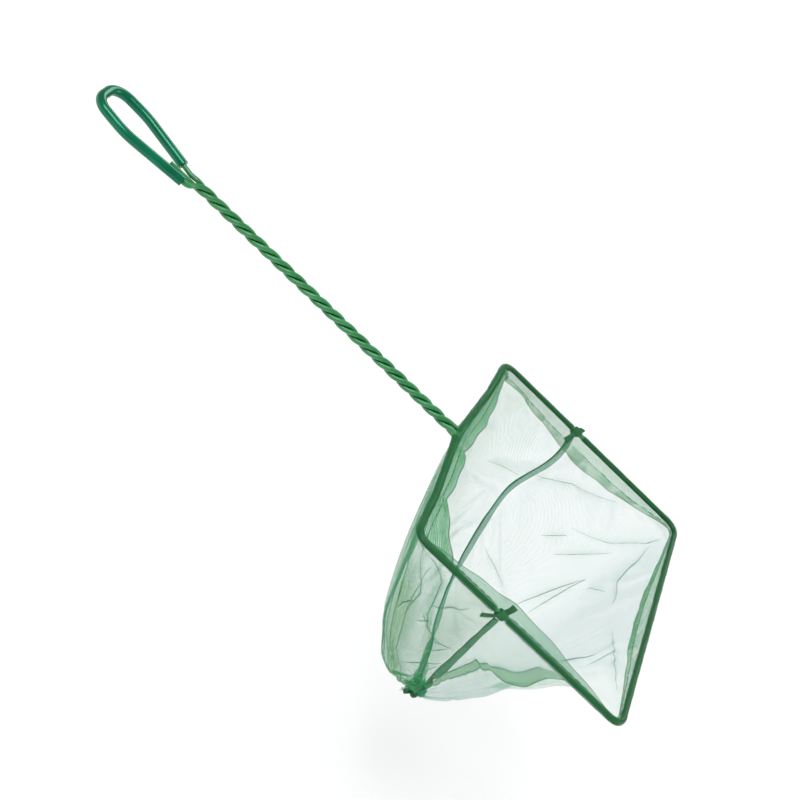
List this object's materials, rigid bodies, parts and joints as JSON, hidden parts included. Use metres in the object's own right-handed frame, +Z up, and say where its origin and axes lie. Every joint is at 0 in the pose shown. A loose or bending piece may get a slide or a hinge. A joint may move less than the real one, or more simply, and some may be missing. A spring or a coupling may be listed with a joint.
{
  "type": "aquarium fish net",
  "caption": "Hand-held aquarium net: a rectangular wire hoop with a hanging mesh bag, a twisted wire handle and a sleeved hang loop at its end.",
  "frame": {"origin": "middle of the hang loop's round end, in the hoop's plane", "axes": "+X along the handle from the hang loop to the hoop, +Y across the hoop, +Z up out of the net's mouth"},
  "size_m": [0.2151, 0.1022, 0.084],
  "materials": {
    "coated_wire": "satin green plastic coat over steel wire",
    "sleeve": "glossy dark green plastic tube",
    "hem": "doubled fine green netting",
    "mesh": "fine see-through green netting",
    "tape": "woven dark green binding tape"
  },
  "bodies": {
    "frame": {"hoop_wire": "coated_wire", "handle_strand_tail": "coated_wire", "handle_strand_right": "coated_wire", "handle_strand_left": "coated_wire", "loop_wire": "coated_wire", "grip_sleeve": "sleeve", "handle_hem_right": "hem", "handle_hem_left": "hem", "far_hem": "hem", "handle_panel": "mesh", "far_panel": "mesh", "seam_tape_right": "tape", "seam_tape_left": "tape", "tape_tie_right": "tape", "tape_tie_left": "tape"},
    "bag_bottom": {"bottom_knot": "tape"}
  },
  "joints": [
    {"name": "bag_lift", "type": "slide", "parent": "frame", "child": "bag_bottom", "axis": [0, 0, 1], "range_m": [0, 0.06], "deforming": ["handle_panel", "far_panel", "seam_tape_right", "seam_tape_left"]}
  ]
}
